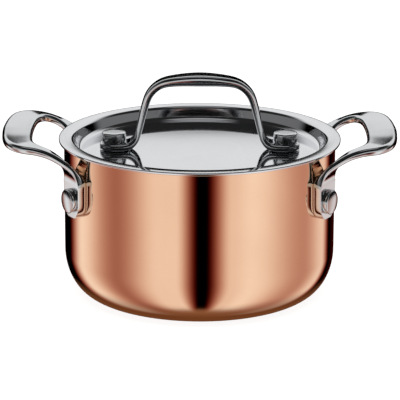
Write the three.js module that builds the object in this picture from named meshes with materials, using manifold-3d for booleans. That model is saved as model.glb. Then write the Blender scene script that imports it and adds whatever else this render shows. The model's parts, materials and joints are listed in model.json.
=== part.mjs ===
// A small two-handled casserole in copper-clad tri-ply, with a recessed stainless lid.
// Millimetres, +Z up. The origin is the centre of the base on the table; the two side
// handles stand out along X, and the lid's bow handle runs along X as well.
import * as THREE from "three";
import { mergeVertices } from "three/addons/utils/BufferGeometryUtils.js";
import Module from "manifold-3d";

const wasm = await Module();
wasm.setup();

// ---------------------------------------------------------------- driving dimensions
const POT_RADIUS = 52.8; // outside of the copper
const POT_HEIGHT = 60.75;
const COPPER = 0.6; // thickness of each bonded layer
const ALUMINIUM = 1.0;
const STEEL = 0.5;
const BOND = 0.05; // bond line between two layers
const CORNER_RISE = 20.0; // height and reach of the rounded bottom corner
const CORNER_REACH = 14.0;
const CORNER_POWER = 2.3; // superellipse exponent: 2 is round, more is squarer

const LID_RADIUS = 54.8;
const LID_TOP = 61.9; // top face of the flat rim
const LID_THICKNESS = 1.0;
const WELL_DEPTH = 5.4; // drop from the rim to the lid's floor
const WELL_TOP_RADIUS = 48.5; // inner face of the well's wall, at its top and bottom
const WELL_FLOOR_RADIUS = 47.7;
const WELL_BEND = 0.8; // inner bend radius of the pressing

const RIVET_SHANK = 2.4;
const RIVET_HEAD = 4.7;
const HANDLE_RIVET_RISE = 2.3; // how far a head stands up from its piece
const LID_RIVET_RISE = 3.5;
const RIVET_TAIL = 4.4; // formed head on the hidden side
const RIVET_TAIL_HEIGHT = 1.7;
const FIT_GAP = 0.25; // clearance kept between pieces that touch

const PAD_ANGLE = THREE.MathUtils.degToRad(29.5); // from the handle's axis round to each of its feet
const PAD_FACE = 56.1; // outer face of a foot, from the pot's axis
const PAD_BACK = 51.0; // the foot starts inside the wall and is cut back to it
const PAD_HALF_WIDTH = 5.9;
const PAD_SHIFT = 0.4; // the foot sits a little nearer the grip's middle than its rivet
const PAD_BOTTOM = 36.4;
const PAD_TOP = 49.5;
const RIVET_HEIGHT = 43.6;

const LID_RIVET_X = 33.3;
const FOOT_HALF_WIDTH = 5.8;
const FOOT_THICKNESS = 3.0;

const ROUND_SEGMENTS = 48;
const BAR_SIDES = 12;
const BAR_POWER = 3.6; // roundness of a handle bar's section

const POT_INNER_RADIUS = POT_RADIUS - COPPER - ALUMINIUM - STEEL - 2 * BOND;
const LID_FLOOR = LID_TOP - WELL_DEPTH;

const COLOURS = {
  copper: { color: 0xd98a66, roughness: 0.16, metalness: 1 },
  aluminium: { color: 0xc9cbcf, roughness: 0.45, metalness: 1 },
  satinSteel: { color: 0xb9bbbf, roughness: 0.32, metalness: 1 },
  polishedSteel: { color: 0xd5d7da, roughness: 0.1, metalness: 1 },
};

// ---------------------------------------------------------------- helpers
function lathe(profile, segments = ROUND_SEGMENTS) {
  const points = profile.map(([radius, height]) => new THREE.Vector2(radius, height));
  return new THREE.LatheGeometry(points, segments).rotateX(Math.PI / 2);
}

// Welds a geometry's seams and poles, and hands it over for cutting.
function toSolid(geometry) {
  const bare = new THREE.BufferGeometry();
  bare.setAttribute("position", geometry.getAttribute("position"));
  bare.setIndex(geometry.index);
  const merged = mergeVertices(bare, 1e-4);
  const kept = [];
  const index = merged.index.array;
  for (let i = 0; i < index.length; i += 3) {
    const [a, b, c] = [index[i], index[i + 1], index[i + 2]];
    if (a !== b && b !== c && c !== a) kept.push(a, b, c);
  }
  return new wasm.Manifold(
    new wasm.Mesh({
      numProp: 3,
      vertProperties: merged.attributes.position.array,
      triVerts: new Uint32Array(kept),
    }),
  );
}

function toGeometry(solid) {
  const mesh = solid.getMesh();
  const geometry = new THREE.BufferGeometry();
  geometry.setAttribute("position", new THREE.BufferAttribute(mesh.vertProperties, 3));
  geometry.setIndex(new THREE.BufferAttribute(mesh.triVerts, 1));
  return geometry;
}

function cut(geometry, cutters) {
  const solid = cutters.reduce((left, cutter) => left.subtract(toSolid(cutter)), toSolid(geometry));
  return toGeometry(solid);
}

function piece(name, geometry, look) {
  const mesh = new THREE.Mesh(geometry, new THREE.MeshStandardMaterial(COLOURS[look]));
  mesh.name = name;
  return mesh;
}

// A drill for a rivet's shank, centred on the origin and standing along +Z.
function drill(length) {
  const radius = RIVET_SHANK + FIT_GAP;
  return new THREE.CylinderGeometry(radius, radius, length, 16).rotateX(Math.PI / 2);
}

// An arc of a profile, from one angle to another about (radius, height).
function arc(radius, height, bend, from, to, steps) {
  return Array.from({ length: steps + 1 }, (_, i) => {
    const a = from + ((to - from) * i) / steps;
    return [radius + bend * Math.cos(a), height + bend * Math.sin(a)];
  });
}

// ---------------------------------------------------------------- the pot: three bonded layers
// The outline of the pot from the base's edge to the rim, moved inwards by depth.
function potOutline(depth, steps = 7) {
  const points = [[0, depth]];
  for (let i = steps; i >= 0; i--) {
    const a = (Math.PI / 2) * (i / steps);
    const c = Math.cos(a) ** (2 / CORNER_POWER);
    const s = Math.sin(a) ** (2 / CORNER_POWER);
    const slope = new THREE.Vector2(
      c ** (CORNER_POWER - 1) / CORNER_REACH,
      -(s ** (CORNER_POWER - 1)) / CORNER_RISE,
    ).normalize();
    points.push([
      POT_RADIUS - CORNER_REACH * (1 - c) - depth * slope.x,
      CORNER_RISE * (1 - s) - depth * slope.y,
    ]);
  }
  points.push([POT_RADIUS - depth, POT_HEIGHT]);
  return points;
}

function layer(outerDepth, innerDepth) {
  return lathe([...potOutline(outerDepth), ...potOutline(innerDepth).reverse()]);
}

// The four places where a rivet goes through the wall, as an angle about the pot's axis.
const RIVETS = [
  { name: "right_front", angle: -PAD_ANGLE },
  { name: "right_rear", angle: PAD_ANGLE },
  { name: "left_rear", angle: Math.PI - PAD_ANGLE },
  { name: "left_front", angle: Math.PI + PAD_ANGLE },
];

// Turns a shape made along +X, at the rivets' height, to one of those angles.
function atRivet(geometry, angle) {
  return geometry.translate(0, 0, RIVET_HEIGHT).rotateZ(angle);
}

// Drills that cross the wall and a handle's foot at each rivet.
function wallDrills() {
  return RIVETS.map(({ angle }) => {
    return atRivet(drill(20).rotateY(Math.PI / 2).translate(POT_RADIUS, 0, 0), angle);
  });
}

const LAYERS = [
  { name: "copper_shell", thickness: COPPER, look: "copper" },
  { name: "aluminium_core", thickness: ALUMINIUM, look: "aluminium" },
  { name: "steel_lining", thickness: STEEL, look: "satinSteel" },
];

const pot = new THREE.Group();
let depth = 0;
for (const { name, thickness, look } of LAYERS) {
  pot.add(piece(name, cut(layer(depth, depth + thickness), wallDrills()), look));
  depth += thickness + BOND;
}

// ---------------------------------------------------------------- bars: a section carried along stations
// A station is { outer, inner, normal, thickness }: the two edges of the bar's top face, the
// direction from the top face to the bottom one, and how thick the bar is there.
function loft(stations) {
  const rows = stations.length - 1;
  const bar = new THREE.CylinderGeometry(1, 1, 1, BAR_SIDES, rows);
  const position = bar.getAttribute("position");
  const round = (v) => Math.sign(v) * Math.abs(v) ** (2 / BAR_POWER);
  for (let i = 0; i < position.count; i++) {
    const at = stations[Math.round((0.5 - position.getY(i)) * rows)];
    const across = round(position.getX(i));
    const through = round(position.getZ(i));
    const middle = at.outer.clone().lerp(at.inner, 0.5);
    const half = at.outer.clone().sub(at.inner).multiplyScalar(0.5);
    const deep = at.normal.clone().multiplyScalar(at.thickness * (0.5 + 0.5 * through));
    const point = middle.addScaledVector(half, across).add(deep);
    position.setXYZ(i, point.x, point.y, point.z);
  }
  bar.deleteAttribute("normal");
  bar.deleteAttribute("uv");
  return bar;
}

// Gives each station the direction from its top face to its bottom one.
function withNormals(stations) {
  return stations.map((at, i) => {
    const before = stations[Math.max(i - 1, 0)];
    const after = stations[Math.min(i + 1, stations.length - 1)];
    const middle = (s) => s.outer.clone().add(s.inner).multiplyScalar(0.5);
    const along = middle(after).sub(middle(before));
    const across = at.outer.clone().sub(at.inner);
    return { ...at, normal: along.cross(across).normalize() };
  });
}

// Adds the far half of a handle, which runs the other way so that the bar carries on.
function mirrored(stations) {
  const flip = (v) => new THREE.Vector3(v.x, -v.y, v.z);
  const far = stations.slice(0, -1).reverse();
  return [...stations, ...far.map((s) => ({ ...s, outer: flip(s.outer), inner: flip(s.inner) }))];
}

// ---------------------------------------------------------------- side handles
// The edges of the handle's top face, from where it leaves the foot to the middle of the grip.
const HANDLE_ARM = [
  { outer: [42.7, -30.6, 51.4], inner: [48.7, -20.4, 51.4], thickness: 3.7 },
  { outer: [44.2, -30.6, 54.0], inner: [49.6, -21.0, 54.2], thickness: 3.1 },
  { outer: [46.9, -30.5, 56.8], inner: [51.3, -22.4, 57.2], thickness: 2.7 },
  { outer: [50.9, -30.3, 59.8], inner: [53.6, -23.7, 60.4], thickness: 2.7 },
  { outer: [56.0, -29.8, 62.4], inner: [56.8, -24.0, 62.9], thickness: 2.8 },
  { outer: [61.8, -29.7, 64.3], inner: [60.2, -23.4, 64.3], thickness: 3.0 },
  { outer: [68.4, -28.9, 65.3], inner: [62.4, -21.2, 64.8], thickness: 3.2 },
  { outer: [73.2, -23.8, 65.8], inner: [63.7, -16.8, 64.9], thickness: 3.2 },
  { outer: [75.6, -14.0, 65.9], inner: [64.4, -8.6, 64.9], thickness: 3.2 },
  { outer: [76.5, 0.0, 65.9], inner: [64.6, 0.0, 64.9], thickness: 3.2 },
];
const ARM_STEPS = 24;

// A point of the right front foot: across it, out from the pot's axis, and its height.
function onPad(across, out, height) {
  return new THREE.Vector3(out, across, height).applyAxisAngle(new THREE.Vector3(0, 0, 1), -PAD_ANGLE);
}

function footStations() {
  const stations = [];
  const endSteps = 5;
  for (let i = 0; i <= endSteps; i++) {
    const a = (Math.PI / 2) * (0.12 + (0.88 * i) / endSteps);
    const half = PAD_HALF_WIDTH * Math.sin(a);
    const height = PAD_BOTTOM + PAD_HALF_WIDTH * (1 - Math.cos(a));
    stations.push({ half, height });
  }
  stations.push({ half: PAD_HALF_WIDTH, height: PAD_TOP });
  return stations.map(({ half, height }) => ({
    outer: onPad(PAD_SHIFT - half, PAD_BACK, height),
    inner: onPad(PAD_SHIFT + half, PAD_BACK, height),
    thickness: PAD_FACE - PAD_BACK,
  }));
}

function armStations() {
  const points = (key) => HANDLE_ARM.map((s) => new THREE.Vector3(...s[key]));
  const curve = (key) => new THREE.CatmullRomCurve3(points(key));
  const outer = curve("outer");
  const inner = curve("inner");
  return Array.from({ length: ARM_STEPS + 1 }, (_, i) => {
    const t = i / ARM_STEPS;
    const place = t * (HANDLE_ARM.length - 1);
    const low = Math.min(Math.floor(place), HANDLE_ARM.length - 2);
    const thickness = THREE.MathUtils.lerp(
      HANDLE_ARM[low].thickness,
      HANDLE_ARM[low + 1].thickness,
      place - low,
    );
    return { outer: outer.getPoint(t), inner: inner.getPoint(t), thickness };
  });
}

function sideHandle() {
  const bar = loft(withNormals(mirrored([...footStations(), ...armStations()])));
  const reach = POT_RADIUS + FIT_GAP;
  const wall = lathe([[0, -10], [reach, -10], [reach, 100], [0, 100]], 2 * ROUND_SEGMENTS);
  return cut(bar, [wall, ...wallDrills()]);
}

pot.add(piece("side_handle_right", sideHandle(), "polishedSteel"));
pot.add(piece("side_handle_left", sideHandle().rotateZ(Math.PI), "polishedSteel"));

// ---------------------------------------------------------------- rivets
// A rivet along +Z: its thick flat head rises from seat, and its formed tail hangs from tailSeat.
function rivet(seat, rise, tailSeat) {
  const edge = 0.5;
  const tailArc = 4;
  const head = [
    [RIVET_SHANK, seat],
    [RIVET_HEAD, seat],
    ...arc(RIVET_HEAD - edge, seat + rise - edge, edge, 0, Math.PI / 2, 3),
    [0, seat + rise + 0.15],
  ];
  const tail = Array.from({ length: tailArc + 1 }, (_, i) => {
    const a = (Math.PI / 2) * (1 - i / tailArc);
    return [RIVET_TAIL * Math.cos(a), tailSeat - RIVET_TAIL_HEIGHT * Math.sin(a)];
  });
  tail[0][0] = 0;
  return lathe([...tail, [RIVET_SHANK, tailSeat], ...head], 20);
}

// The pot's rivets lie along the radius: the head is on the handle and the tail inside the pot.
const tailSeat = Math.sqrt(POT_INNER_RADIUS ** 2 - RIVET_TAIL ** 2) - FIT_GAP;
for (const { name, angle } of RIVETS) {
  const shape = rivet(PAD_FACE + FIT_GAP, HANDLE_RIVET_RISE, tailSeat).rotateY(Math.PI / 2);
  pot.add(piece(`handle_rivet_${name}`, atRivet(shape, angle), "polishedSteel"));
}

// ---------------------------------------------------------------- the lid
const lid = new THREE.Group();

// The pressed plate's top face, from the axis out to the rim's edge, moved down by depth.
function lidOutline(depth) {
  const quarter = Math.PI / 2;
  const lower = WELL_BEND + depth; // the bend that the floor curls up on
  const upper = WELL_BEND + LID_THICKNESS - depth; // the bend that the rim curls over
  const upperCentre = WELL_TOP_RADIUS + WELL_BEND + LID_THICKNESS;
  return [
    [0, LID_FLOOR - depth],
    ...arc(WELL_FLOOR_RADIUS - WELL_BEND, LID_FLOOR + WELL_BEND, lower, -quarter, -0.1, 4),
    ...arc(upperCentre, LID_TOP - WELL_BEND - LID_THICKNESS, upper, 2 * quarter - 0.1, quarter, 4),
    [LID_RADIUS - 0.25, LID_TOP - depth],
  ];
}

// Drills that cross the lid's floor and the handle's feet at both rivets.
function lidDrills() {
  return [-1, 1].map((side) => drill(14).translate(side * LID_RIVET_X, 0, LID_FLOOR));
}

function lidPlate() {
  const edge = [[LID_RADIUS, LID_TOP - LID_THICKNESS + 0.3], [LID_RADIUS, LID_TOP - 0.3]];
  const plate = lathe([...lidOutline(LID_THICKNESS), ...edge, ...lidOutline(0).reverse()]);
  return cut(plate, lidDrills());
}

// The bow from beside the foot's rivet to the middle of the grip: its centre line's place above
// the lid's floor, and the half width and thickness of the bar there.
const BOW = [
  { x: 30.2, z: 1.5, half: 5.6, thickness: 3.0 },
  { x: 27.4, z: 2.0, half: 5.0, thickness: 2.9 },
  { x: 24.8, z: 4.2, half: 4.2, thickness: 2.5 },
  { x: 23.7, z: 7.6, half: 3.6, thickness: 2.4 },
  { x: 22.5, z: 12.6, half: 3.2, thickness: 2.6 },
  { x: 21.2, z: 17.8, half: 3.1, thickness: 2.9 },
  { x: 19.4, z: 22.4, half: 3.3, thickness: 3.1 },
  { x: 15.8, z: 25.9, half: 3.7, thickness: 3.2 },
  { x: 10.6, z: 27.4, half: 4.3, thickness: 3.6 },
  { x: 0.0, z: 28.0, half: 4.8, thickness: 4.4 },
];
const BOW_STEPS = 20;

function bowStations() {
  const foot = [];
  const endSteps = 5;
  for (let i = 0; i <= endSteps; i++) {
    const a = (Math.PI / 2) * (0.12 + (0.88 * i) / endSteps);
    foot.push({
      x: LID_RIVET_X + FOOT_HALF_WIDTH * Math.cos(a),
      z: FOOT_THICKNESS / 2,
      half: FOOT_HALF_WIDTH * Math.sin(a),
      thickness: FOOT_THICKNESS,
    });
  }
  const line = new THREE.CatmullRomCurve3(BOW.map((s) => new THREE.Vector3(s.x, 0, s.z)));
  const size = new THREE.CatmullRomCurve3(BOW.map((s) => new THREE.Vector3(s.half, s.thickness, 0)));
  const bow = Array.from({ length: BOW_STEPS + 1 }, (_, i) => {
    const place = line.getPoint(i / BOW_STEPS);
    const section = size.getPoint(i / BOW_STEPS);
    return { x: place.x, z: place.z, half: section.x, thickness: section.y };
  });
  return [...foot, ...bow];
}

function lidHandle() {
  const floor = LID_FLOOR + FIT_GAP;
  const half = bowStations();
  const line = [...half, ...half.slice(0, -1).reverse().map((s) => ({ ...s, x: -s.x }))];
  const stations = line.map((s, i) => {
    const before = line[Math.max(i - 1, 0)];
    const after = line[Math.min(i + 1, line.length - 1)];
    const along = new THREE.Vector3(after.x - before.x, 0, after.z - before.z).normalize();
    const down = new THREE.Vector3(0, 1, 0).cross(along).negate();
    const middle = new THREE.Vector3(s.x, 0, s.z + floor).addScaledVector(down, -s.thickness / 2);
    return {
      outer: middle.clone().setY(s.half),
      inner: middle.clone().setY(-s.half),
      normal: down,
      thickness: s.thickness,
    };
  });
  return cut(loft(stations), lidDrills());
}

lid.add(piece("lid_plate", lidPlate(), "polishedSteel"));
lid.add(piece("lid_handle", lidHandle(), "polishedSteel"));
for (const [name, side] of [["left", -1], ["right", 1]]) {
  const seat = LID_FLOOR + FIT_GAP + FOOT_THICKNESS + FIT_GAP;
  const shape = rivet(seat, LID_RIVET_RISE, LID_FLOOR - LID_THICKNESS - FIT_GAP);
  lid.add(piece(`lid_rivet_${name}`, shape.translate(side * LID_RIVET_X, 0, 0), "polishedSteel"));
}

const casserole = new THREE.Group();
casserole.add(pot, lid);
export default casserole;
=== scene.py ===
# %% [markdown]
# # A small copper casserole with a steel lid
# The pot is one sheet made of three bonded metals: copper outside, aluminium in the middle and
# stainless steel inside. Two cast steel grips are riveted to its sides, and a bow handle is
# riveted to a pressed steel lid that sits in the pot's mouth. The imported model gives every size
# and place, so the first step is to load it.

import json
import math

import bmesh
import bpy
from mathutils import Matrix, Vector

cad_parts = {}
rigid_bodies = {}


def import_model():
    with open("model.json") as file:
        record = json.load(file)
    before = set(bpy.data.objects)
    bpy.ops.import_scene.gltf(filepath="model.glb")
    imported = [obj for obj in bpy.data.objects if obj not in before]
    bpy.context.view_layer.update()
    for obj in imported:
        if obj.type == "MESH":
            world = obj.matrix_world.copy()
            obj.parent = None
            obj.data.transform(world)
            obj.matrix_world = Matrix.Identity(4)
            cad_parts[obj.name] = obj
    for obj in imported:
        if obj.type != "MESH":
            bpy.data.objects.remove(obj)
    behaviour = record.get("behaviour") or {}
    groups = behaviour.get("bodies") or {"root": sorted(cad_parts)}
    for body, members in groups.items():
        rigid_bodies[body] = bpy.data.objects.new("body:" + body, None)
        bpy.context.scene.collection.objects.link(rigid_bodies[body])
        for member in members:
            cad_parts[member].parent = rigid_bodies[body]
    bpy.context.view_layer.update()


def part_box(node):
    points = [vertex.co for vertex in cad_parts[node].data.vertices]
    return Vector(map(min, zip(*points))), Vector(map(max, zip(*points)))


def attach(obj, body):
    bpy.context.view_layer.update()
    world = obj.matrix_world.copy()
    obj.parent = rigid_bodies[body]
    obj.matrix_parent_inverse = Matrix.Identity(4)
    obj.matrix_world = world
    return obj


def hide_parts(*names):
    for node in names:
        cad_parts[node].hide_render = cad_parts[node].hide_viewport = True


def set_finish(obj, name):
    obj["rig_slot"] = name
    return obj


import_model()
MM = 0.001

# %% [markdown]
# ## Sizes
# The pot and the lid are round, so a corner of each node's box gives a radius and a height. The
# bottom of each layer also gives the thickness of the layer under it. The rivets' boxes give the
# places of the rivets. Only curves that a box can't show, such as the sweep of a grip, are
# written down further on. The lining and the lid's sheet have no layer below them to measure by, so
# their two thicknesses are written here.

# %% Read the sizes
shell_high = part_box("copper_shell")[1]
core_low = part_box("aluminium_core")[0]
lining_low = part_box("steel_lining")[0]
lid_low, lid_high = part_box("lid_plate")
bow_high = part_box("lid_handle")[1]
lid_rivet_low, lid_rivet_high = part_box("lid_rivet_right")
side_rivet_low, side_rivet_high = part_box("handle_rivet_right_front")

POT_RADIUS, POT_TOP = shell_high.x, shell_high.z
COPPER = core_low.z
ALUMINIUM = lining_low.z - core_low.z
STEEL = 0.5 * MM
LID_RADIUS, LID_TOP, LID_UNDER = lid_high.x, lid_high.z, lid_low.z
LID_SHEET = 1.0 * MM
LID_FLOOR = LID_UNDER + LID_SHEET
print(f"pot {POT_RADIUS / MM:.1f} x {POT_TOP / MM:.1f} mm, lid floor at {LID_FLOOR / MM:.1f} mm")

# %% [markdown]
# ## Camera
# The view is a catalogue view: a long lens from about a metre away, looking down by 16 degrees,
# so the ellipses of the lid are shallow and the sides stay almost upright.

# %% Place the camera
CAMERA_PITCH = math.radians(15.98)
CAMERA_DISTANCE = 0.98
CAMERA_ROLL = math.radians(0.23)
LENS, SENSOR = 225, 36
LOOK_AT = Vector((0.0002, 0, 0.0361))

camera = bpy.data.objects.new("camera", bpy.data.cameras.new("camera"))
bpy.context.scene.collection.objects.link(camera)
camera.data.lens = LENS
camera.data.sensor_width = SENSOR
backwards = Vector((0, -math.cos(CAMERA_PITCH), math.sin(CAMERA_PITCH)))
camera.location = LOOK_AT + backwards * CAMERA_DISTANCE
tilt = Matrix.Rotation(math.radians(90) - CAMERA_PITCH, 4, "X")
roll = Matrix.Rotation(CAMERA_ROLL, 4, "Z")
camera.rotation_euler = (tilt @ roll).to_euler()
bpy.context.scene.camera = camera
print("camera at", [round(c, 3) for c in camera.location])

# %% [markdown]
# ## A helper that turns a bmesh into a piece
# Every piece is built in its final place, in metres, and its object stays at the origin. The
# helper shades it smooth, hides the CAD node that it stands for, and fastens it to its body.
# Edges sharper than the given angle stay crisp, because a mirror finish shows every false curve.

# %% Make a piece
def make_piece(name, bm, body, node, slot, sharp=35, levels=0):
    bmesh.ops.remove_doubles(bm, verts=bm.verts, dist=1e-7)
    mesh = bpy.data.meshes.new(name)
    bm.to_mesh(mesh)
    bm.free()
    mesh.shade_smooth()
    mesh.set_sharp_from_angle(angle=math.radians(sharp))
    piece = bpy.data.objects.new(name, mesh)
    bpy.context.scene.collection.objects.link(piece)
    if levels:
        smooth = piece.modifiers.new("smooth", "SUBSURF")
        smooth.levels = smooth.render_levels = levels
    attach(piece, body)
    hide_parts(node)
    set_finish(piece, slot)
    print(f"{name}: {len(mesh.polygons)} faces")
    return piece


# %% [markdown]
# ## Turned sheet metal
# A pot is drawn or spun from a flat disc, so it is the same shape all the way round. The matching
# tool is Spin: a short chain of edges from the axis to the rim is carried round the axis. The
# chain has sharp corners, and a bevel on the rings that they sweep gives the bends their radius.
# Solidify then gives the skin its thickness. Drawing a full section with both faces would work
# too, but then each bend would need its two radii worked out by hand. Wide pieces need many steps
# round the axis to look round at their edge, and small pins need fewer.

# %% Spin an outline
SHEET_STEPS = 144
PIN_STEPS = 48


def spin_outline(outline, steps):
    bm = bmesh.new()
    chain = [bm.verts.new((radius, 0, height)) for radius, height in outline]
    edges = [bm.edges.new(pair) for pair in zip(chain, chain[1:])]
    bmesh.ops.spin(
        bm, geom=chain + edges, cent=(0, 0, 0), axis=(0, 0, 1), dvec=(0, 0, 0),
        angle=math.tau, steps=steps, use_merge=True,
    )
    bmesh.ops.remove_doubles(bm, verts=bm.verts, dist=1e-7)
    return bm


def ring_edges(bm, radius, height, reach=1e-6):
    """The edges that run round the axis at one radius and height."""
    def on_ring(v):
        return abs(math.hypot(v.co.x, v.co.y) - radius) < reach and abs(v.co.z - height) < reach
    return [e for e in bm.edges if all(on_ring(v) for v in e.verts)]


def round_ring(bm, radius, height, bend, segments):
    bmesh.ops.bevel(
        bm, geom=ring_edges(bm, radius, height), offset=bend, offset_type="OFFSET",
        segments=segments, profile=0.5, affect="EDGES", material=-1,
    )


# %% [markdown]
# ## The three layers of the pot
# Each layer is a cup with an upright wall and a rounded foot. The foot is rounder up the wall than
# it is across the base, so the bevel makes a quarter circle and a scale along Z stretches it. The
# same function makes all three, each one a little smaller than the one outside it. Short edges at
# the top of the wall keep the shading there straight, and the copper's cut rim is softened.

# %% Build the pot's layers
FOOT_REACH = 12.5 * MM  # how far the rounding reaches in over the base
FOOT_RISE = 17.9 * MM  # and how far up the wall
FOOT_INSET = 0.6  # how much of a layer's depth its own rounding loses
RIM_BAND = 0.5 * MM
RIM_BEND = 0.12 * MM


def cup(depth, thickness):
    radius = POT_RADIUS - depth
    reach = FOOT_REACH - FOOT_INSET * depth
    stretch = (FOOT_RISE - FOOT_INSET * depth) / reach
    top = POT_TOP - depth
    bm = spin_outline([(0, 0), (radius, 0), (radius, top - RIM_BAND), (radius, top)], SHEET_STEPS)
    round_ring(bm, radius, 0, reach, 20)
    foot = [v for v in bm.verts if v.co.z < reach + 1e-6]
    bmesh.ops.scale(bm, vec=(1, 1, stretch), verts=foot)
    for v in bm.verts:
        v.co.z += depth
    bmesh.ops.recalc_face_normals(bm, faces=bm.faces)
    bmesh.ops.solidify(bm, geom=bm.faces[:], thickness=thickness)
    return bm


outer_cup = cup(0, COPPER)
round_ring(outer_cup, POT_RADIUS, POT_TOP, RIM_BEND, 2)
middle_cup = cup(COPPER, ALUMINIUM)
inner_cup = cup(COPPER + ALUMINIUM, STEEL)
make_piece("copper_outside", outer_cup, "pot", "copper_shell", "copper")
make_piece("aluminium_layer", middle_cup, "pot", "aluminium_core", "aluminium_core")
make_piece("steel_inside", inner_cup, "pot", "steel_lining", "steel_lining")

# %% [markdown]
# ## The lid's plate
# The lid is pressed from one sheet: a flat floor, a low wall that drops into the pot's mouth and a
# flat rim that rests on the pot. Its bends are tight but never sharp, and they matter a lot in a
# mirror finish, because each one gathers the whole room into a thin line. A pressed floor is never
# quite flat. This one is crowned by a fraction of a millimetre, which spreads out what it mirrors.

# %% Build the lid's plate
WELL_FLOOR_RADIUS = 47.6 * MM
WELL_TOP_RADIUS = 49.1 * MM
WELL_FLOOR_BEND = 1.7 * MM
WELL_TOP_BEND = 1.0 * MM
LID_EDGE_BAND = 0.6 * MM
LID_EDGE_BEND = 0.3 * MM
FLOOR_CROWN = 0.3 * MM

crowned = []
for part in (0, 0.2, 0.4, 0.6, 0.8):
    crowned.append((WELL_FLOOR_RADIUS * part, LID_FLOOR + FLOOR_CROWN * (1 - part ** 2)))
plate = spin_outline(crowned + [
    (WELL_FLOOR_RADIUS, LID_FLOOR), (WELL_TOP_RADIUS, LID_TOP),
    (LID_RADIUS - LID_EDGE_BAND, LID_TOP), (LID_RADIUS, LID_TOP),
], SHEET_STEPS)
round_ring(plate, WELL_TOP_RADIUS, LID_TOP, WELL_TOP_BEND, 8)
round_ring(plate, WELL_FLOOR_RADIUS, LID_FLOOR, WELL_FLOOR_BEND, 8)
bmesh.ops.recalc_face_normals(plate, faces=plate.faces)
if sum(f.normal.z for f in plate.faces) < 0:
    bmesh.ops.reverse_faces(plate, faces=plate.faces)
bmesh.ops.solidify(plate, geom=plate.faces[:], thickness=LID_SHEET)
for height in (LID_TOP, LID_TOP - LID_SHEET):
    round_ring(plate, LID_RADIUS, height, LID_EDGE_BEND, 4)
make_piece("lid_sheet", plate, "lid", "lid_plate", "lid_steel")

# %% [markdown]
# ## Cast bars
# The grips and the bow are cast, so their width and thickness change all the way along. A curve
# with a round bevel can't do that. Instead a bar is a row of rings: each ring is a circle from
# create_circle whose points are moved onto a rounded box of that place's width and thickness, and
# bridge_loops joins each ring to the next. Two levels of subdivision then make it smooth.

# %% Rings and bars
RING_POINTS = 16


def rounded_box(a, b, top, under, dip):
    """The outline of a bar's section: half width a, half thickness b, two corner radii, a dished top."""
    flat_top, flat_under, cut = (a - top) * 0.75, (a - under) * 0.6, 0.3
    return [
        (a - top, b), (flat_top, b - dip), (-flat_top, b - dip), (-a + top, b),
        (-a + cut * top, b - cut * top), (-a, b - top), (-a, -b + under),
        (-a + cut * under, -b + cut * under), (-a + under, -b), (-flat_under, -b), (flat_under, -b),
        (a - under, -b), (a - cut * under, -b + cut * under), (a, -b + under), (a, b - top),
        (a - cut * top, b - cut * top),
    ]


def add_ring(bm, at):
    """One ring of a bar. The station holds its centre, across (half its width, as a vector), up (a
    unit vector out of its top), thick, the two corner radii top and under, and dip."""
    ring = bmesh.ops.create_circle(bm, cap_ends=False, radius=1.0, segments=RING_POINTS)["verts"]
    half = at["thick"] / 2
    width = at["across"].length
    side = at["across"].normalized()
    top, under = (min(at[corner], 0.8 * half, 0.6 * width) for corner in ("top", "under"))
    for v, (x, y) in zip(ring, rounded_box(width, half, top, under, at["dip"])):
        v.co = at["centre"] + side * x + at["up"] * y
    return ring


def ring_loop(ring):
    members = set(ring)
    return list({e for v in ring for e in v.link_edges if all(w in members for w in e.verts)})


def add_bar(bm, stations):
    rings = [add_ring(bm, at) for at in stations]
    loops = [ring_loop(ring) for ring in rings]
    for near, far in zip(loops, loops[1:]):
        bmesh.ops.bridge_loops(bm, edges=near + far)
    for loop in (loops[0], loops[-1]):
        bmesh.ops.contextual_create(bm, geom=loop)
    bmesh.ops.recalc_face_normals(bm, faces=bm.faces)


def catmull(points, t):
    """A smooth value at t, counted in stations, through a list of vectors or numbers."""
    i = min(int(t), len(points) - 2)
    s = t - i
    p0, p1, p2, p3 = (points[min(max(k, 0), len(points) - 1)] for k in (i - 1, i, i + 1, i + 2))
    return 0.5 * (2 * p1 + (p2 - p0) * s + (2 * p0 - 5 * p1 + 4 * p2 - p3) * s * s
                  + (3 * p1 - p0 - 3 * p2 + p3) * s ** 3)


# %% [markdown]
# ## The side grips
# Each grip is one casting: a tongue against the wall, an arm that leaves it and rises, a wide plate
# for the fingers with a shallow dish in it, and the same again on the other side. The lists give
# the two edges of the top face, the thickness, the dish and the radius below, from the tongue to
# the middle of the plate, in millimetres.

# %% The grip's measures
TONGUE_ANGLE = math.atan2(
    -(side_rivet_low.y + side_rivet_high.y), side_rivet_low.x + side_rivet_high.x
)
RIVET_HEIGHT = (side_rivet_low.z + side_rivet_high.z) / 2
TONGUE_SHIFT = 0.4 * MM
TONGUE_BOTTOM = RIVET_HEIGHT - 7.2 * MM
TONGUE_HALF = 5.9 * MM
TONGUE_BACK, TONGUE_FACE = POT_RADIUS - 0.5 * MM, 56.1 * MM
TIP_START, TIP_STEPS = 0.14, 5  # a rounded end starts a little past its very tip

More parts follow.
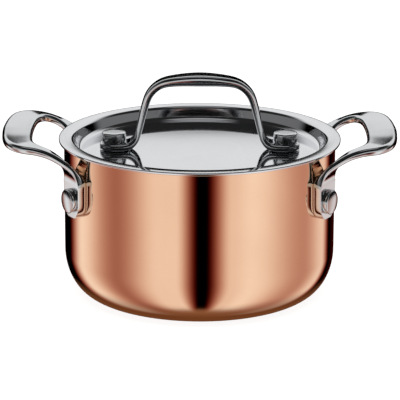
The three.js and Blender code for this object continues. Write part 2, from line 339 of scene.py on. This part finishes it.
ARM_OUTER = [
    (42.7, -30.6, 51.4), (44.2, -30.6, 54.0), (46.9, -30.5, 56.8), (50.9, -30.3, 59.8), (56.0, -29.8, 62.4),
    (61.8, -29.7, 64.3), (68.4, -28.9, 65.3), (73.2, -23.8, 65.8), (75.6, -14.0, 65.9), (76.5, 0.0, 65.9),
]
ARM_INNER = [
    (48.7, -20.4, 51.4), (49.6, -21.0, 54.2), (51.3, -22.4, 57.2), (53.6, -23.7, 60.4), (56.8, -24.0, 62.9),
    (60.2, -23.4, 64.3), (62.4, -21.2, 64.8), (63.7, -16.8, 64.9), (64.4, -8.6, 64.9), (64.6, 0.0, 64.9),
]
ARM_THICK = [3.85, 3.1, 2.5, 2.7, 2.8, 3.0, 3.2, 3.2, 3.2, 3.2]
ARM_DIP = [0.0, 0.0, 0.0, 0.0, 0.0, 0.0, 0.05, 0.14, 0.2, 0.2]
ARM_UNDER = [0.1, 0.4, 0.9, 1.1, 1.1, 1.1, 1.1, 1.1, 1.1, 1.1]
ARM_TOP_CORNER = 1.1 * MM
ARM_STEPS = 28
print(f"tongues at {math.degrees(TONGUE_ANGLE):.1f} degrees, rivets at {RIVET_HEIGHT / MM:.1f} mm")

# %% [markdown]
# The measures now become stations, one for each ring. The tongue's rounded end is a quarter turn of
# sines. The arm follows smooth curves through its lists. The direction out of the top face comes
# from the face's two edges, and it is evened out along the arm, because rings that cross would
# leave a crease. The other half of the grip is the same stations mirrored in reverse order.

# %% The grip's stations
def tongue_point(across, out, height):
    """A point of the front right tongue: across it, out from the pot's axis, and up."""
    return Matrix.Rotation(-TONGUE_ANGLE, 3, "Z") @ Vector((out, across, height))


def rounded_tip():
    """The angles round a rounded end, from near its tip to where its sides run straight."""
    return [math.pi / 2 * (TIP_START + (1 - TIP_START) * k / TIP_STEPS) for k in range(TIP_STEPS + 1)]


def tongue_profile():
    """Half width and height up the tongue, from its tip to where the arm starts."""
    centre = TONGUE_BOTTOM + TONGUE_HALF
    tip = [(TONGUE_HALF * math.sin(a), centre - TONGUE_HALF * math.cos(a)) for a in rounded_tip()]
    return tip + [
        (TONGUE_HALF, RIVET_HEIGHT + 3.4 * MM), (TONGUE_HALF + 0.2 * MM, RIVET_HEIGHT + 5.9 * MM),
    ]


def upward(raw, passes=6):
    """The direction out of the top face at each station, evened out so that rings never cross."""
    ups = []
    for i, (outer, inner, *_) in enumerate(raw):
        before, after = raw[max(i - 1, 0)], raw[min(i + 1, len(raw) - 1)]
        along = after[0] + after[1] - before[0] - before[1]
        ups.append((outer - inner).cross(along).normalized())
    for _ in range(passes):
        near = [ups[0]] + ups[:-1]
        far = ups[1:] + [ups[-1]]
        ups = [(a + 2 * b + c).normalized() for a, b, c in zip(near, ups, far)]
    return ups


def finish_stations(raw):
    """Works out each ring's centre and axes from the two edges of its top face."""
    done = []
    for (outer, inner, thick, dip, under), up in zip(raw, upward(raw)):
        across = (outer - inner) / 2
        up = (up - across * up.dot(across) / across.length_squared).normalized()
        done.append({
            "centre": (outer + inner) / 2 - up * thick / 2, "across": across, "up": up,
            "thick": thick, "top": ARM_TOP_CORNER, "under": under, "dip": dip,
        })
    return done


def grip_stations():
    raw = []
    for half, height in tongue_profile():
        outer = tongue_point(TONGUE_SHIFT - half, TONGUE_BACK, height)
        inner = tongue_point(TONGUE_SHIFT + half, TONGUE_BACK, height)
        raw.append((outer, inner, TONGUE_FACE - TONGUE_BACK, 0.0, ARM_UNDER[0] * MM))
    outer_points, inner_points = ([Vector(p) * MM for p in row] for row in (ARM_OUTER, ARM_INNER))
    for k in range(ARM_STEPS + 1):
        t = k / ARM_STEPS * (len(ARM_OUTER) - 1)
        raw.append((
            catmull(outer_points, t), catmull(inner_points, t),
            catmull(ARM_THICK, t) * MM, catmull(ARM_DIP, t) * MM, catmull(ARM_UNDER, t) * MM,
        ))
    flip = Vector((1, -1, 1))
    raw += [(outer * flip, inner * flip, *rest) for outer, inner, *rest in reversed(raw[:-1])]
    return finish_stations(raw)


print(f"{len(grip_stations())} rings in each grip")

# %% [markdown]
# Both grips come out of one mould. The second one is built the same way and turned half round the
# pot's axis. Mirroring would do too, but it would turn the faces inside out.

# %% Build the grips
for side, turn in (("right", 0), ("left", math.pi)):
    grip = bmesh.new()
    add_bar(grip, grip_stations())
    if turn:
        bmesh.ops.rotate(grip, cent=(0, 0, 0), matrix=Matrix.Rotation(turn, 3, "Z"), verts=grip.verts)
    make_piece(f"{side}_grip", grip, "pot", f"side_handle_{side}", "handle_steel", sharp=80, levels=2)

# %% [markdown]
# ## The lid's bow
# The bow starts as a round foot on the lid's floor, curls up into a thin leg and widens into a grip
# that is flat on top and rounded below. Its line lies in one upright plane, so each station is only
# a place along X, a height above the floor, a half width and a thickness. The higher up, the more
# its top leans back, up to about a degree and a half, so that it mirrors the dark low part of the
# room and not the bright wall above it. This lean is a choice for the look.

# %% Build the bow
RIVET_X = (lid_rivet_low.x + lid_rivet_high.x) / 2
FOOT_HALF = bow_high.y
FOOT_THICK = 3.0  # in millimetres, like the list below
FOOT_GAP = 0.05 * MM  # between the foot and the lid's floor
BOW = [
    (30.2, 1.5, 5.6, 3.0), (27.2, 2.1, 5.0, 2.9), (24.9, 4.2, 4.2, 2.5), (23.7, 7.6, 3.6, 2.4),
    (22.5, 12.6, 3.2, 2.6), (21.2, 17.8, 3.1, 2.9), (19.4, 22.4, 3.3, 3.1), (15.8, 25.9, 3.7, 3.2),
    (10.6, 27.4, 4.3, 3.6), (0.0, 28.0, 4.8, 4.4),
]
BOW_STEPS = 28
BOW_LEAN = 0.024
BOW_TOP_CORNER, BOW_UNDER_CORNER = 1.0 * MM, 1.6 * MM


def bow_rows():
    """The bow from one foot over to the other, in millimetres: x, height, half width, thickness."""
    rows = []
    foot = FOOT_HALF / MM
    for a in rounded_tip():
        rows.append((RIVET_X / MM + foot * math.cos(a), FOOT_THICK / 2, foot * math.sin(a), FOOT_THICK))
    x, *rest = BOW[-2]
    columns = list(zip(*BOW, (-x, *rest)))  # one station past the middle keeps the crown smooth
    for k in range(BOW_STEPS + 1):
        t = k / BOW_STEPS * (len(BOW) - 1)
        rows.append(tuple(catmull(column, t) for column in columns))
    return rows + [(-x, z, half, thick) for x, z, half, thick in reversed(rows[:-1])]


def bow_stations():
    rows = bow_rows()
    base = LID_FLOOR + FOOT_GAP
    crown = BOW[-1][1]
    stations = []
    for i, (x, z, half, thick) in enumerate(rows):
        before, after = rows[max(i - 1, 0)], rows[min(i + 1, len(rows) - 1)]
        along = Vector((after[0] - before[0], 0, after[1] - before[1])).normalized()
        up = Vector((0, 1, 0)).cross(along)
        stations.append({
            "centre": Vector((x * MM, 0, z * MM + base)),
            "across": Vector((0, half * MM, -half * MM * BOW_LEAN * z / crown)), "up": up,
            "thick": thick * MM, "top": BOW_TOP_CORNER, "under": BOW_UNDER_CORNER, "dip": 0.0,
        })
    return stations


bow = bmesh.new()
add_bar(bow, bow_stations())
make_piece("lid_bow", bow, "lid", "lid_handle", "handle_steel", sharp=80, levels=2)

# %% [markdown]
# ## Rivets
# A rivet is a plain turned pin: a thick button head that shows, a shank through the metal and a low
# head formed on the hidden side. It is spun from half its section like the pot, with a bevel round
# the rim of its head. It is made upright and then turned and moved to its place. The lid's rivets
# have flat tops, and those of the grips are slightly domed.

# %% The rivet
HEAD = (lid_rivet_high.x - lid_rivet_low.x) / 2
TAIL_WIDTH = 0.94  # the formed head's radius, as a part of the shown one
SHANK = 2.4 * MM
HEAD_BEND, SEAT_BEND = 0.55 * MM, 0.2 * MM


def rivet(head_top, seat, tail_seat, tail, crown):
    """An upright rivet. Its shown head stands on seat, and the formed one hangs below tail_seat."""
    shown = [(HEAD, seat), (HEAD, head_top - crown), (HEAD * 0.55, head_top - 0.3 * crown), (0, head_top)]
    formed = [(0, tail_seat - tail), (HEAD * 0.62, tail_seat - tail * 0.8), (HEAD * TAIL_WIDTH, tail_seat)]
    bm = spin_outline([*formed, (SHANK, tail_seat), (SHANK, seat), *shown], PIN_STEPS)
    round_ring(bm, HEAD, head_top - crown, HEAD_BEND, 5)
    round_ring(bm, HEAD, seat, SEAT_BEND, 2)
    bmesh.ops.recalc_face_normals(bm, faces=bm.faces)
    return bm


# %% [markdown]
# The lid's two rivets stand upright through the bow's feet. The four on the grips point outwards
# through the tongues, and their formed heads sit against the curved lining, so each one starts
# where a head of its width just touches the curve.

# %% Build the rivets
LID_HEAD_LIFT, LID_HEAD_CROWN = 0.1 * MM, 0.02 * MM
SIDE_HEAD_HIGH, SIDE_HEAD_LIFT, SIDE_HEAD_CROWN = 2.6 * MM, 0.05 * MM, 0.5 * MM
SIDE_TAIL = 1.7 * MM

for side, sign in (("left", -1), ("right", 1)):
    seat = LID_FLOOR + FOOT_THICK * MM + LID_HEAD_LIFT
    pin = rivet(lid_rivet_high.z, seat, LID_UNDER, LID_UNDER - lid_rivet_low.z, LID_HEAD_CROWN)
    bmesh.ops.translate(pin, vec=(sign * RIVET_X, 0, 0), verts=pin.verts)
    make_piece(f"lid_rivet_head_{side}", pin, "lid", f"lid_rivet_{side}", "rivet_steel", sharp=30)

lining_radius = POT_RADIUS - COPPER - ALUMINIUM - STEEL
tail_seat = math.sqrt(lining_radius ** 2 - (TAIL_WIDTH * HEAD) ** 2)
for side, turn in (("right_front", -TONGUE_ANGLE), ("right_rear", TONGUE_ANGLE),
                   ("left_rear", math.pi - TONGUE_ANGLE), ("left_front", math.pi + TONGUE_ANGLE)):
    head_top, seat = TONGUE_FACE + SIDE_HEAD_HIGH, TONGUE_FACE + SIDE_HEAD_LIFT
    pin = rivet(head_top, seat, tail_seat, SIDE_TAIL, SIDE_HEAD_CROWN)
    bmesh.ops.rotate(pin, cent=(0, 0, 0), matrix=Matrix.Rotation(math.pi / 2, 3, "Y"), verts=pin.verts)
    bmesh.ops.rotate(pin, cent=(0, 0, 0), matrix=Matrix.Rotation(turn, 3, "Z"), verts=pin.verts)
    bmesh.ops.translate(pin, vec=(0, 0, RIVET_HEIGHT), verts=pin.verts)
    make_piece(f"side_rivet_{side}", pin, "pot", f"handle_rivet_{side}", "rivet_steel", sharp=30)

# %% [markdown]
# ## A metal that remembers how it was polished
# All the finishes are metals with an almost mirror surface. What tells them apart, besides colour,
# is the trace of the polishing wheel: rings round the axis on turned pieces, and cloudy, uneven
# gloss on cast ones. A few small helpers come first: one adds a node, and the others add a sum, a
# noise and a change of range. They keep the recipes further on short enough to read.

# %% Helpers for node trees
def node(tree, kind, **values):
    made = tree.nodes.new(kind)
    for name, value in values.items():
        setattr(made, name, value)
    return made


def math_node(tree, operation, a, b=None):
    made = node(tree, "ShaderNodeMath", operation=operation)
    for socket, value in zip(made.inputs, (a, b)):
        if isinstance(value, bpy.types.NodeSocket):
            tree.links.new(value, socket)
        elif value is not None:
            socket.default_value = value
    return made.outputs[0]


def noise(tree, vector, scale, detail=3.0):
    made = node(tree, "ShaderNodeTexNoise")
    made.inputs["Scale"].default_value = scale
    made.inputs["Detail"].default_value = detail
    tree.links.new(vector, made.inputs["Vector"])
    return made.outputs["Fac"]


def remap(tree, value, start, end, low=0.0, high=1.0, curve="LINEAR"):
    """Carries value from the range start to end over to the range low to high."""
    made = node(tree, "ShaderNodeMapRange", interpolation_type=curve)
    for name, number in zip(("From Min", "From Max", "To Min", "To Max"), (start, end, low, high)):
        made.inputs[name].default_value = number
    tree.links.new(value, made.inputs["Value"])
    return made.outputs["Result"]


# %% [markdown]
# One recipe makes every finish. It reads Object coordinates, so the pattern is fixed to the metal.
# The rings come from fine noise along the radius and the height that hardly changes the other way.
# A broad noise clouds the colour and the gloss, as hand polishing does, and a broader one makes the
# surface undulate very slightly, which keeps the mirrored bands from being ruler straight.

# %% The metal
GRAIN_TURNED, GRAIN_CAST, CLOUD, WAVE = 2600, 1500, 45, 24  # how fine each noise is, per metre
GRAIN_ALONG = 0.02
NOISE_LOW, NOISE_HIGH = 0.3, 0.7  # noise seldom leaves this range
FINE_STRENGTH, WAVE_STRENGTH = 0.25, 0.3


def wheel_grain(tree, place):
    """Fine noise that runs in rings round the axis."""
    parts = node(tree, "ShaderNodeSeparateXYZ")
    tree.links.new(place, parts.inputs[0])
    x, y, z = parts.outputs
    squares = [math_node(tree, "MULTIPLY", side, side) for side in (x, y)]
    radius = math_node(tree, "SQRT", math_node(tree, "ADD", *squares))
    grain_at = node(tree, "ShaderNodeCombineXYZ")
    for socket, value in zip(grain_at.inputs, (radius, math_node(tree, "MULTIPLY", x, GRAIN_ALONG), z)):
        tree.links.new(value, socket)
    return noise(tree, grain_at.outputs[0], GRAIN_TURNED, 4)


def bump(tree, height, strength, depth):
    made = node(tree, "ShaderNodeBump")
    made.inputs["Strength"].default_value = strength
    made.inputs["Distance"].default_value = depth
    tree.links.new(height, made.inputs["Height"])
    return made


def polished_metal(name, dark, light, rough, turned, ring_depth, wave_depth):
    material = bpy.data.materials.new(name)
    material.use_nodes = True
    tree = material.node_tree
    shader = tree.nodes["Principled BSDF"]
    shader.inputs["Metallic"].default_value = 1.0
    place = node(tree, "ShaderNodeTexCoord").outputs["Object"]
    grain = wheel_grain(tree, place) if turned else noise(tree, place, GRAIN_CAST, 4)
    cloud = noise(tree, place, CLOUD, 3)
    wave = noise(tree, place, WAVE, 1)

    colour = node(tree, "ShaderNodeMix", data_type="RGBA")
    colour.inputs["A"].default_value = (*dark, 1)
    colour.inputs["B"].default_value = (*light, 1)
    tree.links.new(remap(tree, cloud, NOISE_LOW, NOISE_HIGH), colour.inputs["Factor"])
    tree.links.new(colour.outputs["Result"], shader.inputs["Base Color"])

    cloudy = remap(tree, cloud, NOISE_LOW, NOISE_HIGH, rough * 0.75, rough * 1.15)
    grainy = remap(tree, grain, NOISE_LOW, NOISE_HIGH, 0, rough * 0.3)
    tree.links.new(math_node(tree, "ADD", cloudy, grainy), shader.inputs["Roughness"])

    fine = bump(tree, grain, FINE_STRENGTH, ring_depth)
    broad = bump(tree, wave, WAVE_STRENGTH, wave_depth)
    tree.links.new(fine.outputs["Normal"], broad.inputs["Normal"])
    tree.links.new(broad.outputs["Normal"], shader.inputs["Normal"])
    return material


# %% [markdown]
# ## The finishes
# Copper is warm and slightly darker where the polish is older. The lid's sheet is the clearest
# mirror, the cast grips are a little cloudier, and the lining has the satin of a scouring pad.

# %% Make and assign the finishes
# slot: name, darker colour, lighter colour, roughness, turned, depth of the grain, of the waves
FINISHES = {
    "copper": ("polished_copper", (0.88, 0.58, 0.39), (0.92, 0.62, 0.42), 0.035, True, 2e-6, 4e-6),
    "aluminium_core": ("cut_aluminium", (0.66, 0.67, 0.69), (0.78, 0.79, 0.81), 0.35, True, 2e-5, 1e-6),
    "steel_lining": ("satin_steel", (0.52, 0.52, 0.53), (0.63, 0.63, 0.64), 0.26, True, 2e-5, 1e-6),
    "handle_steel": ("cast_steel", (0.65, 0.67, 0.685), (0.73, 0.75, 0.765), 0.07, False, 2e-6, 1e-5),
    "rivet_steel": ("rivet_steel", (0.64, 0.66, 0.67), (0.74, 0.76, 0.77), 0.14, False, 3e-6, 1e-5),
    "lid_steel": ("mirror_steel", (0.74, 0.75, 0.77), (0.80, 0.81, 0.83), 0.06, True, 1e-6, 4e-6),
}
finishes = {slot: polished_metal(*recipe) for slot, recipe in FINISHES.items()}
for piece in bpy.context.scene.objects:
    if piece.type == "MESH" and "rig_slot" in piece:
        piece.data.materials.clear()
        piece.data.materials.append(finishes[piece["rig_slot"]])
print("finishes:", sorted(finishes))

# %% [markdown]
# ## The studio
# Polished metal shows the room and hardly any shading of its own, so the room is the lighting. Below
# the horizon the pot's wall mirrors a bright table with a few darker gaps, which gives the pot its
# upright bands. Each row of the list is a direction round the pot, in degrees from straight in
# front, and how bright the table is there. The colour ramp eases from each row to the next.

# %% The table's bands
TABLE_BANDS = [
    (-180, 0.05), (-160, 0.0), (-145, 0.0),  # behind on the left: a dark gap
    (-119, 1.0),  # the left sheet
    (-75, 0.4),  # a corner with little light
    (-35, 0.95), (-20, 0.95),  # the front left sheet
    (-1, 0.0), (6, 0.0),  # the gap between the two front sheets
    (28, 0.9), (45, 1.0),  # the front right sheet
    (100, 0.55),  # the other corner
    (129, 0.9),  # the right sheet
    (145, 0.0), (175, 0.05),  # behind on the right: a dark gap
]

world = bpy.data.worlds.new("studio")
bpy.context.scene.world = world
world.use_nodes = True
tree = world.node_tree
sky = node(tree, "ShaderNodeTexCoord").outputs["Generated"]
parts = node(tree, "ShaderNodeSeparateXYZ")
tree.links.new(sky, parts.inputs[0])
east, north, height = parts.outputs
turn = math_node(tree, "ARCTAN2", east, math_node(tree, "MULTIPLY", north, -1))
turn = math_node(tree, "ADD", math_node(tree, "DIVIDE", turn, math.tau), 0.5)

bands = node(tree, "ShaderNodeValToRGB")
bands.color_ramp.interpolation = "EASE"
stops = bands.color_ramp.elements
while len(stops) < len(TABLE_BANDS):
    stops.new(0.5)
for stop, (angle, _) in zip(stops, TABLE_BANDS):
    stop.position = angle / 360 + 0.5
for stop, (_, level) in zip(stops, TABLE_BANDS):  # apart, because moving a stop can reorder them
    stop.color = (level, level, level, 1)
tree.links.new(turn, bands.inputs["Fac"])
print(f"{len(stops)} stops round the table")

# %% [markdown]
# Above the horizon the room is dark in front, dim at the sides, and has a bright wall behind, which
# lights everything that faces up. The wall starts just above the angle at which the top of the bow
# mirrors it. The table's light gets warmer as it gets dimmer. Straight down, the room is painted a
# dim brown: painted shade under the pot, which its rounded foot mirrors. Directions are told apart
# by how far they point up and how far they point back.

# %% The room
FRONT_LIGHT = 0.62
SIDE_LIGHT, SIDE_HIGH, SIDE_FRONT = 0.17, 0.02, 0.05
WALL_LIGHT, WALL_HIGH = 0.86, 0.06
CEILING_LIGHT = 0.4
# painted shade: the dim brown straight down stands for the shade under the pot, seen in its foot
UNDER_POT_SHADE = (0.40, 0.22, 0.14)
WARMTH = (1.0, 1.8, 2.0)


def fade(value, start, end, low=0.0, high=1.0):
    return remap(tree, value, start, end, low, high, "SMOOTHSTEP")


def tinted(level):
    """A level as a colour that gets warmer as it gets dimmer."""
    made = node(tree, "ShaderNodeCombineColor")
    for socket, power in zip(made.inputs, WARMTH):
        tree.links.new(math_node(tree, "POWER", level, power), socket)
    return made.outputs["Color"]


def blend(factor, first, second):
    made = node(tree, "ShaderNodeMix", data_type="RGBA")
    tree.links.new(factor, made.inputs["Factor"])
    for socket, value in zip((made.inputs["A"], made.inputs["B"]), (first, second)):
        if isinstance(value, bpy.types.NodeSocket):
            tree.links.new(value, socket)
        else:
            socket.default_value = (*value, 1)
    return made.outputs["Result"]


def together(operation, first, *others):
    """Joins several levels with one operation, from left to right."""
    for other in others:
        first = math_node(tree, operation, first, other)
    return first


# straight down, the table fades into the painted shade under the pot
table = blend(fade(height, -0.90, -1.0), tinted(bands.outputs["Color"]), UNDER_POT_SHADE)
front = math_node(tree, "MULTIPLY", fade(north, 0.1, -0.2), FRONT_LIGHT)
near = blend(fade(height, -0.21, -0.13), table, front)

wall = together(
    "MULTIPLY", fade(height, 0.2284, 0.2419), fade(height, 0.77, 0.57, WALL_HIGH, WALL_LIGHT),
    fade(north, 0.2, 0.7),
)
sides = together(
    "MULTIPLY", fade(north, -0.9, -0.7, SIDE_FRONT, 1.0), fade(height, 0.5, 0.3, SIDE_HIGH, SIDE_LIGHT),
    fade(north, 0.94, 0.82),
)
ceiling = fade(height, 0.94, 0.99, 0.0, CEILING_LIGHT)
room = blend(fade(height, 0.10, 0.16), near, together("MAXIMUM", sides, ceiling, wall))
tree.links.new(room, tree.nodes["Background"].inputs["Color"])
print(f"{len(tree.nodes)} nodes paint the room")

# %% [markdown]
# The floor is a plain pale sheet that glows a little, so it comes out white behind the object. The
# metal doesn't mirror it, because it would hide the table that is painted in the world.

# %% The floor
FLOOR_HALF = 3
FLOOR_GREY, FLOOR_GLOW = 0.3, 0.92


def stage_piece(name, bm):
    """A thing that belongs to the studio and not to the object."""
    mesh = bpy.data.meshes.new(name)
    bm.to_mesh(mesh)
    bm.free()
    made = bpy.data.objects.new(name, mesh)
    bpy.context.scene.collection.objects.link(made)
    return made


sheet = bmesh.new()
bmesh.ops.create_grid(sheet, x_segments=1, y_segments=1, size=FLOOR_HALF)
floor = stage_piece("floor", sheet)
floor.visible_glossy = False

paper = bpy.data.materials.new("pale_floor")
paper.use_nodes = True
shader = paper.node_tree.nodes["Principled BSDF"]
shader.inputs["Base Color"].default_value = (FLOOR_GREY, FLOOR_GREY, FLOOR_GREY, 1)
shader.inputs["Roughness"].default_value = 1.0
shader.inputs["Emission Color"].default_value = (1, 1, 1, 1)
shader.inputs["Emission Strength"].default_value = FLOOR_GLOW
shader.inputs["Specular IOR Level"].default_value = 0.0
floor.data.materials.append(paper)
print("floor:", FLOOR_HALF * 2, "m across")

# %% [markdown]
# A pot darkens the ground that it stands on, and its rounded foot mirrors that. Since the metal
# doesn't see the floor, a dim brown disc stands in for the contact shade. It is clear towards its
# edge, lies just under the floor's level, and only mirror reflections can see it.

# %% The contact shade
SHADE_RADIUS = 0.062
SHADE_FULL, SHADE_CLEAR = 0.045, 0.058  # where it starts to thin out, and where it is gone
SHADE_DROP = 0.0002
SHADE_COLOUR = (0.17, 0.07, 0.03)

disc = bmesh.new()
bmesh.ops.create_circle(disc, cap_ends=True, radius=SHADE_RADIUS, segments=64)
shade = stage_piece("contact_shade", disc)
shade.location.z = -SHADE_DROP
for ray in ("camera", "diffuse", "transmission", "shadow"):
    setattr(shade, f"visible_{ray}", False)

dim = bpy.data.materials.new("contact_shade")
dim.use_nodes = True
dim_tree = dim.node_tree
dim_tree.nodes.clear()
reach = node(dim_tree, "ShaderNodeVectorMath", operation="LENGTH")
dim_tree.links.new(node(dim_tree, "ShaderNodeTexCoord").outputs["Object"], reach.inputs[0])
edge = remap(dim_tree, reach.outputs["Value"], SHADE_FULL, SHADE_CLEAR, curve="SMOOTHSTEP")
glow = node(dim_tree, "ShaderNodeEmission")
glow.inputs["Color"].default_value = (*SHADE_COLOUR, 1)
mix = node(dim_tree, "ShaderNodeMixShader")
clear = node(dim_tree, "ShaderNodeBsdfTransparent")
for source, socket in zip((edge, glow.outputs[0], clear.outputs[0]), mix.inputs):
    dim_tree.links.new(source, socket)
dim_tree.links.new(mix.outputs[0], node(dim_tree, "ShaderNodeOutputMaterial").inputs["Surface"])
shade.data.materials.append(dim)
print("contact shade:", SHADE_RADIUS * 2, "m across")

# %% [markdown]
# One large soft lamp overhead lights what isn't a mirror, mostly the satin lining. The metal doesn't
# mirror it either. The plain view transform keeps the painted levels as they are.

# %% The soft lamp
LAMP_SIZE, LAMP_HEIGHT, LAMP_POWER = 3.0, 2.2, 60

softbox = bpy.data.objects.new("softbox", bpy.data.lights.new("softbox", "AREA"))
bpy.context.scene.collection.objects.link(softbox)
softbox.data.shape = "DISK"
softbox.data.size = LAMP_SIZE
softbox.data.energy = LAMP_POWER
softbox.location = (0, 0, LAMP_HEIGHT)
softbox.visible_glossy = False

bpy.context.scene.view_settings.view_transform = "Standard"
bpy.context.scene.view_settings.look = "None"
print("soft lamp:", LAMP_POWER, "W")
